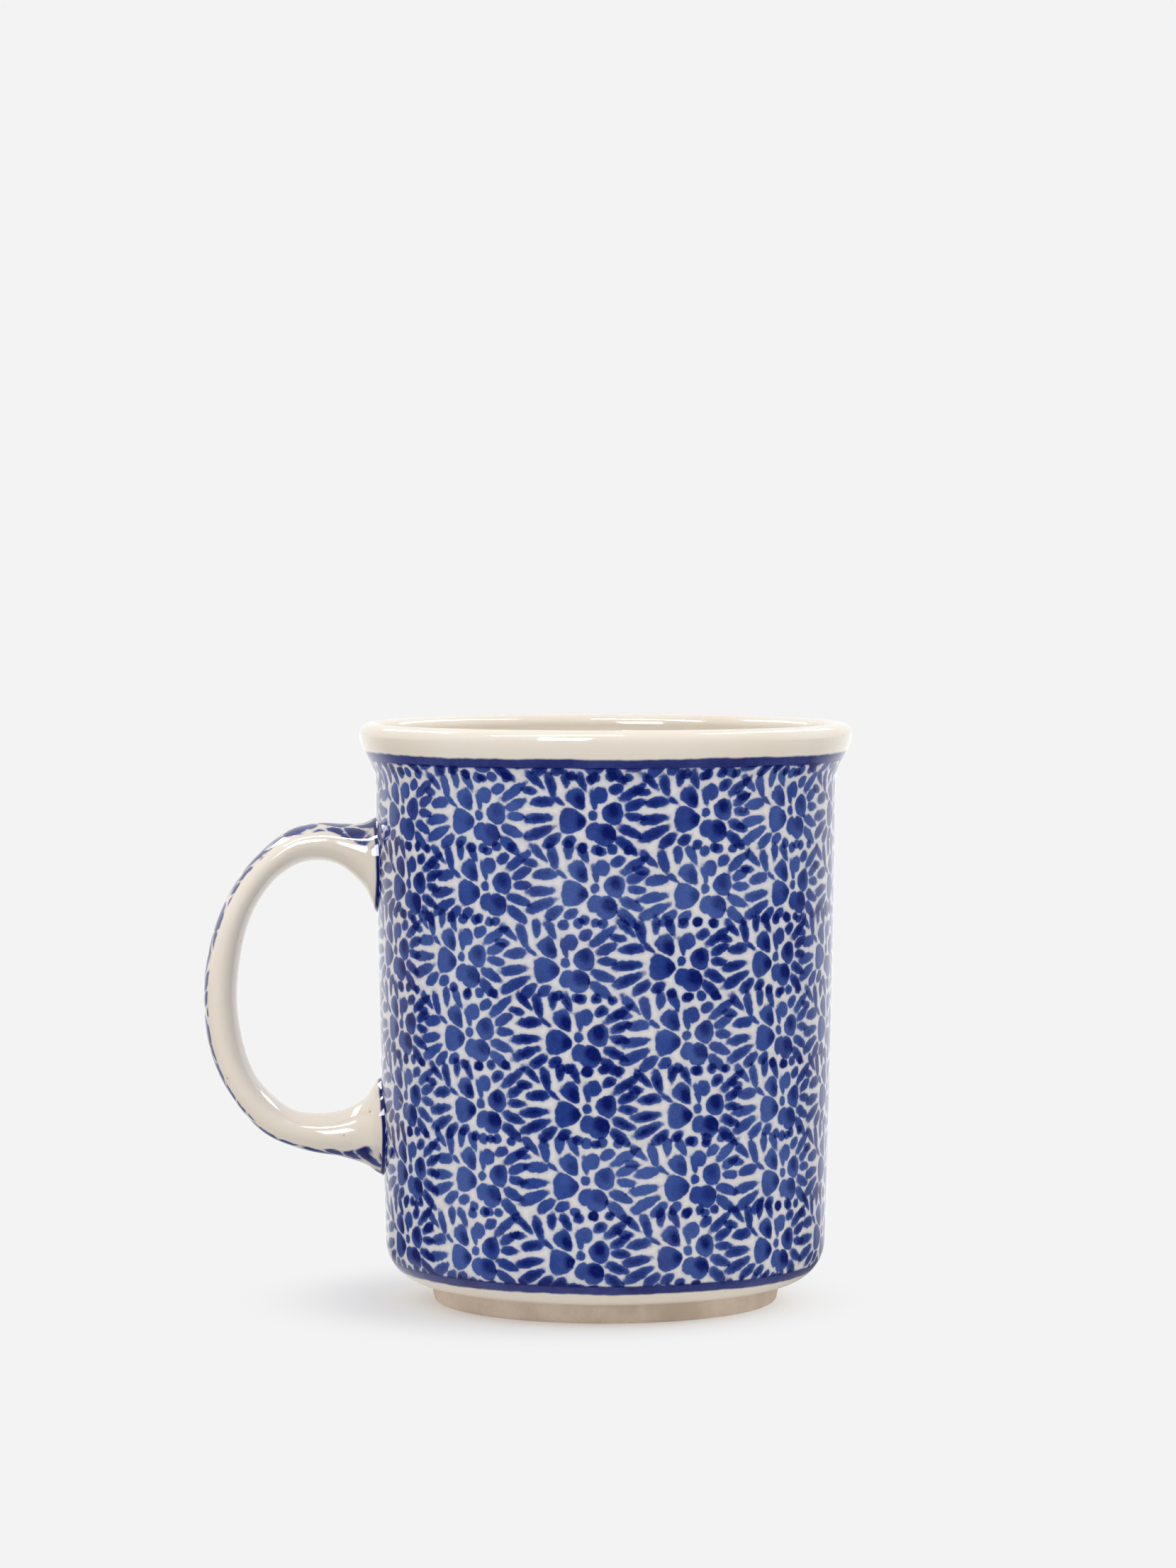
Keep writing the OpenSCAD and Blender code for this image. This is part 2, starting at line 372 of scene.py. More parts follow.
def arc(middle_r, middle_z, radius, start, end, steps):
    """Points of an arc, with its angles in degrees from +X towards +Z."""
    points = []
    for i in range(steps + 1):
        a = math.radians(start + (end - start) * i / steps)
        points.append((middle_r + radius * math.cos(a), middle_z + radius * math.sin(a)))
    return points


def heights(start, end, spacing):
    """Heights from start to end, with one more just inside each end to hold the edge's slope."""
    steps = max(2, math.ceil(abs(end - start) / spacing))
    inside = [start + (end - start) * i / steps for i in range(1, steps)]
    hold = math.copysign(EDGE_HOLD, end - start)
    return [start, start + hold, *inside, end - hold, end]


def outer_side(cup, start, end, depth, spacing=FINE_STEP):
    """The outside from one height to another, close-set on the flare and the bottom curve."""
    flare_z = cup.lip_z - bpy.context.scene.mug_shape.flare_height
    stops = [start] + [z for z in (cup.curve_z, flare_z) if start < z < end] + [end]
    points = []
    for low, high in zip(stops, stops[1:]):
        straight = cup.curve_z <= low and high <= flare_z
        zs = heights(low, high, 4 * spacing if straight else spacing)
        points += [(outer_radius(cup, z, depth), z) for z in zs[bool(points):]]
    return points


def inner_side(cup, depth):
    """Lip, inner wall and floor, from the outside of the lip to the middle of the floor."""
    shape = bpy.context.scene.mug_shape
    flare_z = cup.lip_z - shape.flare_height
    floor_r = inner_radius(cup, cup.floor_curve_z, 0) - shape.floor_curve
    over_lip = arc(cup.lip_middle, cup.lip_z, shape.lip_radius - depth, 0, 180, 24)
    down = (heights(cup.lip_z, flare_z, FINE_STEP)[1:]
            + heights(flare_z, cup.floor_curve_z, 3 * MM)[1:])
    wall = [(inner_radius(cup, z, depth), z) for z in down]
    curve = arc(floor_r, cup.floor_curve_z, shape.floor_curve + depth, 0, -90, 14)[1:]
    floor = [(floor_r * k / 4, cup.floor_z - depth) for k in (3, 2, 1, 0)]
    return over_lip + wall + curve + floor


def base_curve(cup, top, depth):
    """The curve from over the foot ring up to the height top."""
    radius = bpy.context.scene.mug_shape.base_curve - depth
    end = -math.degrees(math.asin((cup.curve_z - top) / radius))
    return arc(cup.curve_middle, cup.curve_z, radius, -90, end, 10)


# ---------------------------------------------------------------------------------------------
# Modelling
# ---------------------------------------------------------------------------------------------

def start_piece(name):
    """An empty mesh object in edit mode, with nothing else selected."""
    bpy.ops.object.select_all(action="DESELECT")
    bpy.ops.mesh.primitive_plane_add(size=MM)
    piece = bpy.context.object
    piece.name = piece.data.name = name
    bpy.ops.object.mode_set(mode="EDIT")
    return piece


def finish_piece(piece, node_names, material, smooth_angle=40.0):
    """Smooths a piece, paints it and lets it stand for its CAD nodes."""
    bpy.ops.object.mode_set(mode="OBJECT")
    bpy.ops.object.shade_smooth_by_angle(angle=math.radians(smooth_angle))
    piece.data.materials.clear()
    piece.data.materials.append(material)
    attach(piece, "root")
    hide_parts(*node_names)


def turn_on_wheel(name, outline, closed):
    """A piece turned round the cup's axis from its outline of (radius, height) points."""
    piece = start_piece(name)
    bpy.ops.mesh.merge(type="CENTER")
    radius, height = outline[0]
    bpy.ops.transform.translate(value=(radius, 0, height))
    for next_radius, next_height in outline[1:]:
        step = (next_radius - radius, 0, next_height - height)
        bpy.ops.mesh.extrude_region_move(TRANSFORM_OT_translate={"value": step})
        radius, height = next_radius, next_height
    if closed:
        select_vertices(piece, lambda v: v.index in (0, len(outline) - 1))
        bpy.ops.mesh.edge_face_add()
    bpy.ops.mesh.select_all(action="SELECT")
    turns = bpy.context.scene.mug_shape.turns
    bpy.ops.mesh.spin(steps=turns, angle=math.tau, center=(0, 0, 0), axis=(0, 0, 1))
    bpy.ops.mesh.select_all(action="SELECT")
    bpy.ops.mesh.remove_doubles(threshold=SEAM_GAP)
    bpy.ops.mesh.normals_make_consistent(inside=False)
    return piece


def select_vertices(piece, test):
    """Selects the vertices that pass the test, in edit mode, and nothing else."""
    bpy.ops.mesh.select_all(action="DESELECT")
    bpy.ops.object.mode_set(mode="OBJECT")
    for vertex in piece.data.vertices:
        vertex.select = test(vertex)
    bpy.ops.object.mode_set(mode="EDIT")


def handle_ring(u):
    """The handle's outline at the place u on its ring list, on a smooth curve through them."""
    i = min(int(u), LAST_RING - 1)
    t = u - i
    a, b, c, d = (HANDLE_RINGS_MM[min(max(k, 0), LAST_RING)] for k in (i - 1, i, i + 1, i + 2))
    ring = [0.5 * (2 * q + (r - p) * t + (2 * p - 5 * q + 4 * r - s) * t ** 2
                   + (3 * q - p - 3 * r + s) * t ** 3)
            for p, q, r, s in zip(a, b, c, d)]
    back = Vector((ring[0], 0, ring[1])) * MM
    finger = Vector((ring[2], 0, ring[3])) * MM
    return SimpleNamespace(middle=(back + finger) / 2, across=back - finger, widening=ring[4])


def handle_places(start, end):
    """Places for the sections of a stretch of handle, with close ones at both ends."""
    steps = math.ceil((end - start) * 5)
    inside = [start + (end - start) * i / steps for i in range(1, steps)]
    return [start, start + 0.04, *inside, end - 0.04, end]


def add_section(ring):
    """Adds the oval outline of one handle section to the mesh in edit mode."""
    shape = bpy.context.scene.mug_shape
    thick = ring.across.length
    wide = shape.handle_width + shape.root_widening * ring.widening
    origin = (0, 0, 0)
    bpy.ops.mesh.select_all(action="DESELECT")
    bpy.ops.mesh.primitive_circle_add(vertices=SECTION_POINTS, radius=0.5, location=origin)
    bpy.ops.transform.resize(value=(thick * SECTION_EASE, wide * SECTION_EASE, 1),
                             center_override=origin)
    bpy.ops.transform.rotate(value=math.atan2(ring.across.z, ring.across.x),
                             orient_axis="Y", center_override=origin)
    bpy.ops.transform.translate(value=ring.middle)


def loft_handle(name, start, end):
    """A stretch of the handle: sections bridged one to the next, closed and subdivided."""
    piece = start_piece(name)
    bpy.ops.mesh.delete(type="VERT")
    section = SECTION_POINTS
    places = handle_places(start, end)
    for k, place in enumerate(places):
        add_section(handle_ring(place))
        if k:
            first = (k - 1) * section
            select_vertices(piece, lambda v: v.index >= first)
            bpy.ops.mesh.bridge_edge_loops()
    total = len(places) * section
    for ends in (range(section), range(total - section, total)):
        select_vertices(piece, lambda v: v.index in ends)
        bpy.ops.mesh.edge_face_add()
        bpy.ops.transform.edge_crease(value=1.0)
    bpy.ops.mesh.select_all(action="SELECT")
    bpy.ops.mesh.normals_make_consistent(inside=False)
    bpy.ops.object.mode_set(mode="OBJECT")
    rounding = piece.modifiers.new("Rounding", "SUBSURF")
    rounding.levels = rounding.render_levels = 2
    bpy.ops.object.modifier_apply(modifier=rounding.name)
    measure_along_handle(piece)
    bpy.ops.object.mode_set(mode="EDIT")
    return piece


def measure_along_handle(piece):
    """Stores how far along the bow each point lies, in mm, and how far towards its back."""
    steps = 60
    rings = [handle_ring(k / steps) for k in range(LAST_RING * steps + 1)]
    run, travelled = 0.0, [0.0]
    for a, b in zip(rings, rings[1:]):
        run += (b.middle - a.middle).length / MM
        travelled.append(run)
    tree = KDTree(len(rings))
    for k, ring in enumerate(rings):
        tree.insert(ring.middle, k)
    tree.balance()
    along = piece.data.attributes.new("along", "FLOAT", "POINT")
    back = piece.data.attributes.new("back", "FLOAT", "POINT")
    for vertex in piece.data.vertices:
        flat = Vector((vertex.co.x, 0, vertex.co.z))
        k = tree.find(flat)[1]
        outward = rings[k].across
        along.data[vertex.index].value = travelled[k]
        share = (flat - rings[k].middle).dot(outward) / outward.length_squared
        back.data[vertex.index].value = 2 * share


# ---------------------------------------------------------------------------------------------
# Node trees
# ---------------------------------------------------------------------------------------------

class Graph:
    """Adds nodes to one tree, and feeds their sockets with values or with other sockets."""

    def __init__(self, tree):
        self.tree = tree

    def feed(self, socket, value):
        if isinstance(value, bpy.types.NodeSocket):
            self.tree.links.new(value, socket)
        else:
            socket.default_value = value

    def node(self, kind, values=None, **settings):
        made = self.tree.nodes.new(kind)
        for name, value in settings.items():
            setattr(made, name, value)
        for key, value in (values or {}).items():
            self.feed(made.inputs[key], value)
        return made

    def math(self, operation, *values, clamp=False):
        values = dict(enumerate(values))
        return self.node("ShaderNodeMath", values, operation=operation, use_clamp=clamp).outputs[0]

    def vector(self, operation, *values, output="Vector"):
        values = dict(enumerate(values))
        return self.node("ShaderNodeVectorMath", values, operation=operation).outputs[output]

    def ease(self, value, low, high, start=0.0, end=1.0):
        """start where value is low, end where it is high, and a soft change between."""
        made = self.node("ShaderNodeMapRange", {"Value": value, "From Min": low, "From Max": high,
                                                "To Min": start, "To Max": end},
                         interpolation_type="SMOOTHSTEP")
        return made.outputs["Result"]

    def noise(self, vector, scale, detail=2.0, roughness=0.5):
        made = self.node("ShaderNodeTexNoise", {"Vector": vector, "Scale": scale,
                                                "Detail": detail, "Roughness": roughness})
        return made.outputs["Fac"]

    def waver(self, vector, scale, detail, reach, shift=0.0):
        """Noise that goes up and down by half of reach, about shift."""
        return self.math("MULTIPLY_ADD", self.noise(vector, scale, detail), reach,
                         shift - reach / 2)

    def split(self, vector):
        return self.node("ShaderNodeSeparateXYZ", {0: vector}).outputs

    def red(self, a_colour):
        return self.node("ShaderNodeSeparateColor", {0: a_colour}).outputs["Red"]

    def times(self, a, b):
        return self.math("MULTIPLY", a, b)

    def mix(self, share, a, b):
        """a where share is 0 and b where it is 1."""
        return self.node("ShaderNodeMix", {0: share, 2: a, 3: b}).outputs[0]

    def blend(self, share, a, b):
        """The same as mix, for colours."""
        made = self.node("ShaderNodeMix", data_type="RGBA")
        for index, value in ((0, share), (6, a), (7, b)):
            self.feed(made.inputs[index], value)
        return made.outputs[2]

    def use(self, group, **values):
        made = self.node("ShaderNodeGroup", node_tree=group)
        for name, value in values.items():
            self.feed(made.inputs[name.replace("_", " ")], value)
        return made.outputs


def new_group(name, takes, gives):
    """A shader node group with named sockets. A socket's kind is Float, Vector or Color."""
    tree = bpy.data.node_groups.new(name, "ShaderNodeTree")
    for sockets, in_out in ((takes, "INPUT"), (gives, "OUTPUT")):
        for socket, kind in sockets.items():
            tree.interface.new_socket(socket, in_out=in_out, socket_type="NodeSocket" + kind)
    graph = Graph(tree)
    return graph, graph.node("NodeGroupInput").outputs, graph.node("NodeGroupOutput").inputs


def colour(name):
    return (*getattr(bpy.context.scene.mug_colours, name), 1.0)


def wall_plan_group():
    """Unrolls the wall: millimetres round it from the front, and millimetres up."""
    layout = bpy.context.scene.mug_stamps
    graph, takes, gives = new_group("Wall plan", {"Point": "Vector"},
                                    {"Around": "Float", "Up": "Float"})
    split = graph.split(takes["Point"])
    bearing = graph.math("ARCTAN2", split["X"], graph.times(split["Y"], -1.0))
    radius_mm = stamp_pitch_mm() * layout.around / math.tau
    graph.feed(gives["Around"], graph.times(bearing, radius_mm))
    graph.feed(gives["Up"], graph.times(split["Z"], 1 / MM))
    return graph.tree


def stamp_pitch_mm():
    cup = cup_sizes()
    middle = wall_radius(cup, cup.height / 2)
    return math.tau * middle / MM / bpy.context.scene.mug_stamps.around


def whole_steps(graph, value, middle, pitch):
    """Which step of pitch a value is on, with step 0 about middle."""
    return graph.math("ROUND", graph.math("DIVIDE", graph.math("SUBTRACT", value, middle), pitch))


def stamp_place_group():
    """Finds the stamp that a point belongs to, and the point's place on that stamp."""
    layout = bpy.context.scene.mug_stamps
    pitch, row_pitch = stamp_pitch_mm(), layout.row_pitch / MM
    graph, takes, gives = new_group(
        "Stamp place", {"Around": "Float", "Up": "Float", "Bunch": "Vector"},
        {"Point": "Vector", "Chance": "Float"})
    bunch = graph.split(takes["Bunch"])
    up = graph.math("SUBTRACT", takes["Up"], layout.first_row / MM)
    row = whole_steps(graph, up, bunch["Y"], row_pitch)
    slides = graph.node("ShaderNodeValToRGB", {"Fac": graph.math(
        "DIVIDE", graph.math("ADD", row, 0.5), len(ROW_SLIDES_MM))})
    ramp = slides.color_ramp
    ramp.interpolation = "CONSTANT"
    for k, slide in enumerate(ROW_SLIDES_MM):
        stop = ramp.elements[k] if k < 1 else ramp.elements.new(k / len(ROW_SLIDES_MM))
        stop.position = k / len(ROW_SLIDES_MM)
        stop.color = (-slide / SLIDE_SCALE_MM, 0, 0, 1)
    slide = graph.red(slides.outputs["Color"])
    around = graph.math("MULTIPLY_ADD", slide, SLIDE_SCALE_MM, takes["Around"])
    column = whole_steps(graph, around, bunch["X"], pitch)
    seam_free = graph.math("FLOORED_MODULO", column, float(layout.around))
    key = graph.node("ShaderNodeCombineXYZ", {0: seam_free, 1: row, 2: 0.5}).outputs[0]
    dice = graph.node("ShaderNodeTexWhiteNoise", {"Vector": key}, noise_dimensions="3D").outputs
    place = graph.node("ShaderNodeCombineXYZ", {
        0: graph.math("MULTIPLY_ADD", column, -pitch, around),
        1: graph.math("MULTIPLY_ADD", row, -row_pitch, up)}).outputs[0]
    centred = graph.vector("SUBTRACT", dice["Color"], (0.5, 0.5, 0.5))
    wander = layout.wander / MM
    off = graph.vector("MULTIPLY", centred, (wander, 0.6 * wander, 0.0))
    turn = graph.vector("DOT_PRODUCT", centred, (0.0, 0.0, layout.turn), output="Value")
    turned = graph.node("ShaderNodeVectorRotate", {"Vector": graph.vector("SUBTRACT", place, off),
                                                   "Angle": turn}, rotation_type="Z_AXIS")
    graph.feed(gives["Point"], turned.outputs[0])
    graph.feed(gives["Chance"], dice["Value"])
    return graph.tree


def stamp_mark_group():
    """How far a point lies outside one mark, in millimetres, and less than 0 inside it."""
    graph, takes, gives = new_group(
        "Stamp mark",
        {"Point": "Vector", "Place": "Vector", "Turn": "Vector", "Half": "Vector",
         "Narrowing": "Float", "Scale": "Float"},
        {"Distance": "Float"})
    local = graph.node("ShaderNodeMapping", {
        "Vector": takes["Point"], "Location": takes["Place"], "Rotation": takes["Turn"],
        "Scale": takes["Half"]}, vector_type="TEXTURE")
    split = graph.split(local.outputs[0])
    wide = graph.math("MULTIPLY_ADD", split["X"], takes["Narrowing"], 1.0)
    bent = graph.node("ShaderNodeCombineXYZ", {0: split["X"],
                                               1: graph.times(split["Y"], wide)})
    reach = graph.vector("LENGTH", bent.outputs[0], output="Value")
    graph.feed(gives["Distance"],
               graph.times(graph.math("SUBTRACT", reach, 1.0), takes["Scale"]))
    return graph.tree


def nearest_mark(graph, mark_group, point, marks):
    """Distance in millimetres to the nearest of the marks."""
    nearest = None
    for x, y, long, wide, turn, narrowing in marks:
        distance = graph.use(mark_group, Point=point, Place=(x, y, 0.0),
                             Turn=(0.0, 0.0, math.radians(turn)), Half=(long / 2, wide / 2, 1.0),
                             Narrowing=narrowing, Scale=min(long, wide) / 2)["Distance"]
        nearest = distance if nearest is None else graph.math("MINIMUM", nearest, distance)
    return nearest


def sponge_stamp_group():
    """The stamped pattern: how much of a point is inked, and how deep the ink lies there."""
    layout = bpy.context.scene.mug_stamps
    soft = layout.softness / MM
    graph, takes, gives = new_group(
        "Sponge stamps", {"Around": "Float", "Up": "Float", "Point": "Vector"},
        {"Ink": "Float", "Depth": "Float"})
    place_group, mark_group = stamp_place_group(), stamp_mark_group()
    wobble = graph.waver(takes["Point"], 900.0, 2.0, 0.62, -layout.spread / MM)
    union, total, depth, halo = 0.0, 0.0, 0.0, 1.0
    for k, marks in enumerate(BUNCHES):
        xs, ys = [m[0] for m in marks], [m[1] for m in marks]
        middle = ((min(xs) + max(xs)) / 2, (min(ys) + max(ys)) / 2, 0.0)
        stamp = graph.use(place_group, Around=takes["Around"], Up=takes["Up"], Bunch=middle)
        distance = nearest_mark(graph, mark_group, stamp["Point"], marks)
        distance = graph.math("ADD", distance, wobble)
        inked = graph.ease(distance, soft, -soft)
        halo = graph.math("MINIMUM", halo, distance)
        pooled = graph.times(graph.ease(distance, 0.0, -0.8), stamp["Chance"])
        if marks is FLOWER:
            core = nearest_mark(graph, mark_group, stamp["Point"], FLOWER_CORES)
            core = graph.times(graph.ease(core, 0.85, -0.55), inked)
            weight = graph.math("MULTIPLY_ADD", stamp["Chance"], 0.5, 0.5)
            pooled = graph.math("MULTIPLY_ADD", pooled, 0.25, graph.times(core, weight))
        union = graph.math("MAXIMUM", union, inked)
        total = graph.math("ADD", total, inked)
        depth = graph.math("MAXIMUM", depth, pooled)
    overlap = graph.math("SUBTRACT", total, union, clamp=True)
    halo = graph.ease(halo, 0.75, 0.0, 0.0, layout.halo)
    graph.feed(gives["Ink"], graph.math("MAXIMUM", union, halo))
    graph.feed(gives["Depth"], graph.math("MULTIPLY_ADD", overlap, 0.75, depth, clamp=True))
    return graph.tree


def off_wall_group():
    """How far a point stands off the straight part of the wall, in millimetres."""
    cup, shape = cup_sizes(), bpy.context.scene.mug_shape
    graph, takes, gives = new_group("Off the wall", {"Point": "Vector"}, {"Distance": "Float"})
    level = graph.vector("MULTIPLY", takes["Point"], (1.0, 1.0, 0.0))
    radius = graph.vector("LENGTH", level, output="Value")
    up = graph.split(takes["Point"])["Z"]
    share = graph.node("ShaderNodeMapRange", {"Value": up, "From Min": cup.curve_z,
                                              "From Max": cup.lip_z}).outputs["Result"]
    swell = 4 * shape.swell
    bow = graph.math("MULTIPLY_ADD", share, -swell, shape.taper + swell)
    wall = graph.math("MULTIPLY_ADD", share, bow, cup.wall_top - shape.taper)
    off = graph.math("SUBTRACT", radius, wall)
    graph.feed(gives["Distance"], graph.times(off, 1 / MM))
    return graph.tree


def painted_line_group():
    """A brushed line round the cup, between two heights in millimetres, with hand-held edges."""
    graph, takes, gives = new_group(
        "Painted line", {"Up": "Float", "Point": "Vector", "Low": "Float", "High": "Float"},
        {"Paint": "Float"})
    flat = graph.vector("MULTIPLY", takes["Point"], (1.0, 1.0, 0.3))
    sway = graph.waver(flat, 45.0, 1.0, 0.7)
    bristle = graph.waver(flat, 420.0, 2.0, 0.4)
    up = graph.math("ADD", takes["Up"], graph.math("ADD", sway, bristle))
    over = graph.ease(graph.math("SUBTRACT", up, takes["Low"]), *PAINT_EDGE_MM)
    under = graph.ease(graph.math("SUBTRACT", takes["High"], up), *PAINT_EDGE_MM)
    graph.feed(gives["Paint"], graph.times(over, under))
    return graph.tree


def cobalt_group():
    """The colour of cobalt at a given depth, over the glaze's own colour."""
    graph, takes, gives = new_group(
        "Cobalt under glaze",
        {"Point": "Vector", "Ground": "Color", "Ink": "Float", "Depth": "Float", "Violet": "Float"},
        {"Color": "Color"})
    cloud = graph.noise(takes["Point"], 55.0, 3.0, 0.6)
    thin = graph.ease(cloud, 0.32, 0.68)
    ink = graph.blend(thin, colour("ink"), colour("ink_thin"))
    violet = graph.ease(graph.noise(takes["Point"], 140.0, 3.0, 0.65), 0.5, 0.75, 0.0, 0.45)
    violet = graph.math("ADD", violet, takes["Violet"], clamp=True)
    ink = graph.blend(violet, ink, colour("ink_purple"))
    grain = graph.waver(takes["Point"], 4200.0, 1.0, 0.5)
    mottle = graph.waver(takes["Point"], 1300.0, 2.0, 0.5)
    depth = graph.math("ADD", takes["Depth"], graph.math("ADD", grain, mottle), clamp=True)
    ink = graph.blend(depth, ink, colour("ink_deep"))
    graph.feed(gives["Color"], graph.blend(takes["Ink"], takes["Ground"], ink))
    return graph.tree


def glaze_ground_group():
    """The glaze's own colour, with thick patches and fine iron specks."""
    graph, takes, gives = new_group(
        "Glaze ground", {"Point": "Vector", "Thin": "Color", "Thick": "Color", "Specks": "Float"},
        {"Color": "Color"})
    patch = graph.ease(graph.noise(takes["Point"], 38.0, 4.0, 0.55), 0.3, 0.8)
    base = graph.blend(graph.times(patch, 0.55), takes["Thin"], takes["Thick"])
    cells = graph.node("ShaderNodeTexVoronoi", {"Vector": takes["Point"], "Scale": 420.0,
                                                "Randomness": 1.0})
    dot = graph.ease(cells.outputs["Distance"], 0.16, 0.05)
    chosen = graph.ease(graph.red(cells.outputs["Color"]), 0.86, 0.98)
    speck = graph.times(graph.times(dot, chosen), takes["Specks"])
    graph.feed(gives["Color"], graph.blend(speck, base, colour("iron")))
    return graph.tree


def glaze_ripple_group():
    """The slow unevenness of a poured glaze, as a height and as a roughness."""
    graph, takes, gives = new_group(
        "Glaze ripple", {"Point": "Vector"}, {"Height": "Float", "Roughness": "Float"})
    slow = graph.noise(takes["Point"], 60.0, 2.0)
    orange_peel = graph.noise(takes["Point"], 700.0, 1.0)
    graph.feed(gives["Height"], graph.math("MULTIPLY_ADD", orange_peel, 0.05, slow))
    cloud = graph.noise(takes["Point"], 180.0, 3.0)
    graph.feed(gives["Roughness"], graph.math("MULTIPLY_ADD", cloud, 0.06, 0.03))
    return graph.tree


# Node groups and materials that several materials or pieces use, by the name of their maker
SHARED = {}


def shared(maker):
    """A node group or a material that is built the first time it is asked for."""
    if maker.__name__ not in SHARED:
        SHARED[maker.__name__] = maker()
    return SHARED[maker.__name__]


# ---------------------------------------------------------------------------------------------
# Materials
# ---------------------------------------------------------------------------------------------

def new_material(name):
    material = bpy.data.materials.new(name)
    material.use_nodes = True
    material.node_tree.nodes.clear()
    graph = Graph(material.node_tree)
    shader = graph.node("ShaderNodeBsdfPrincipled")
    graph.node("ShaderNodeOutputMaterial", {"Surface": shader.outputs[0]})
    point = graph.node("ShaderNodeTexCoord").outputs["Object"]
    return material, graph, shader, point


def glaze_over(graph, shader, point, base_colour, shine):
    """A glossy glaze over the given colour, with its mirroring straight on set by shine."""
    ripple = graph.use(shared(glaze_ripple_group), Point=point)
    graph.feed(shader.inputs["Base Color"], base_colour)
    graph.feed(shader.inputs["Roughness"], ripple["Roughness"])
    shader.inputs["IOR"].default_value = 1.5
    shader.inputs["Specular IOR Level"].default_value = shine
    bump = graph.node("ShaderNodeBump", {"Height": ripple["Height"], "Distance": 0.25 * MM,
                                         "Strength": 0.25})
    graph.feed(shader.inputs["Normal"], bump.outputs[0])


def glaze_ground(graph, point, thin, thick, specks):
    return graph.use(shared(glaze_ground_group), Point=point, Thin=colour(thin),
                     Thick=colour(thick), Specks=specks)["Color"]


def bare_stoneware():
    """Fired clay without glaze: matt, gritty and toasted in patches."""
    material, graph, shader, point = new_material("bare_stoneware")
    toast = graph.ease(graph.noise(point, 90.0, 4.0, 0.6), 0.35, 0.7)
    body = graph.blend(toast, colour("clay"), colour("clay_dark"))
    grit = graph.noise(point, 2600.0, 3.0, 0.7)
    speckled = graph.blend(graph.ease(grit, 0.5, 0.75, 0.0, 0.6), body, colour("clay_dark"))
    graph.feed(shader.inputs["Base Color"], speckled)
    graph.feed(shader.inputs["Roughness"], graph.ease(grit, 0.3, 0.7, 0.62, 0.85))
    bump = graph.node("ShaderNodeBump", {"Height": grit, "Distance": 0.12 * MM, "Strength": 0.6})
    graph.feed(shader.inputs["Normal"], bump.outputs[0])
    return material


def cream_glaze():
    material, graph, shader, point = new_material("cream_glaze")
    ground = glaze_ground(graph, point, "cream", "cream_warm", 0.55)
    glaze_over(graph, shader, point, ground, CREAM_SHINE)
    return material


def line_paint(graph, plan, point, line):
    low, high = (z / MM for z in line)
    return graph.use(shared(painted_line_group), Up=plan["Up"], Point=point,
                     Low=low, High=high)["Paint"]


def line_depth(graph, point):
    """How deep the cobalt lies along a brushed line."""
    return graph.ease(graph.noise(point, 70.0, 3.0, 0.6), 0.35, 0.7, 0.0, 0.55)


def line_glaze(name, line):
    """A cobalt line painted round the cup, under the same glaze as its neighbours."""
    material, graph, shader, point = new_material(name)
    plan = graph.use(shared(wall_plan_group), Point=point)
    paint = line_paint(graph, plan, point, line)
    depth = line_depth(graph, point)
    ground = glaze_ground(graph, point, "cream", "cream_warm", 0.5)
    painted = graph.use(shared(cobalt_group), Point=point, Ground=ground, Ink=paint,
                        Depth=depth, Violet=LINE_VIOLET)["Color"]
    glaze_over(graph, shader, point, painted, STAMPED_SHINE)
    return material


def stamped_glaze():
    """The wall: sponge stamps on a pale ground, running into the lines above and below."""
    cup = cup_sizes()
    material, graph, shader, point = new_material("stamped_glaze")
    plan = graph.use(shared(wall_plan_group), Point=point)
    stamps = graph.use(shared(sponge_stamp_group), Around=plan["Around"], Up=plan["Up"],
                       Point=point)
    lines = graph.math("MAXIMUM", line_paint(graph, plan, point, cup.upper_line),
                       line_paint(graph, plan, point, cup.lower_line))
    ink = graph.math("MAXIMUM", stamps["Ink"], lines)
    crossing = graph.times(stamps["Ink"], lines)
    in_lines = line_depth(graph, point)
    depth = graph.math("MAXIMUM", graph.math("MULTIPLY_ADD", crossing, 0.5, stamps["Depth"]),
                       graph.times(lines, in_lines))
    ground = glaze_ground(graph, point, "ground", "cream", 0.25)
    painted = graph.use(shared(cobalt_group), Point=point, Ground=ground, Ink=ink,
                        Depth=depth, Violet=graph.times(lines, LINE_VIOLET))["Color"]
    glaze_over(graph, shader, point, painted, STAMPED_SHINE)
    return material


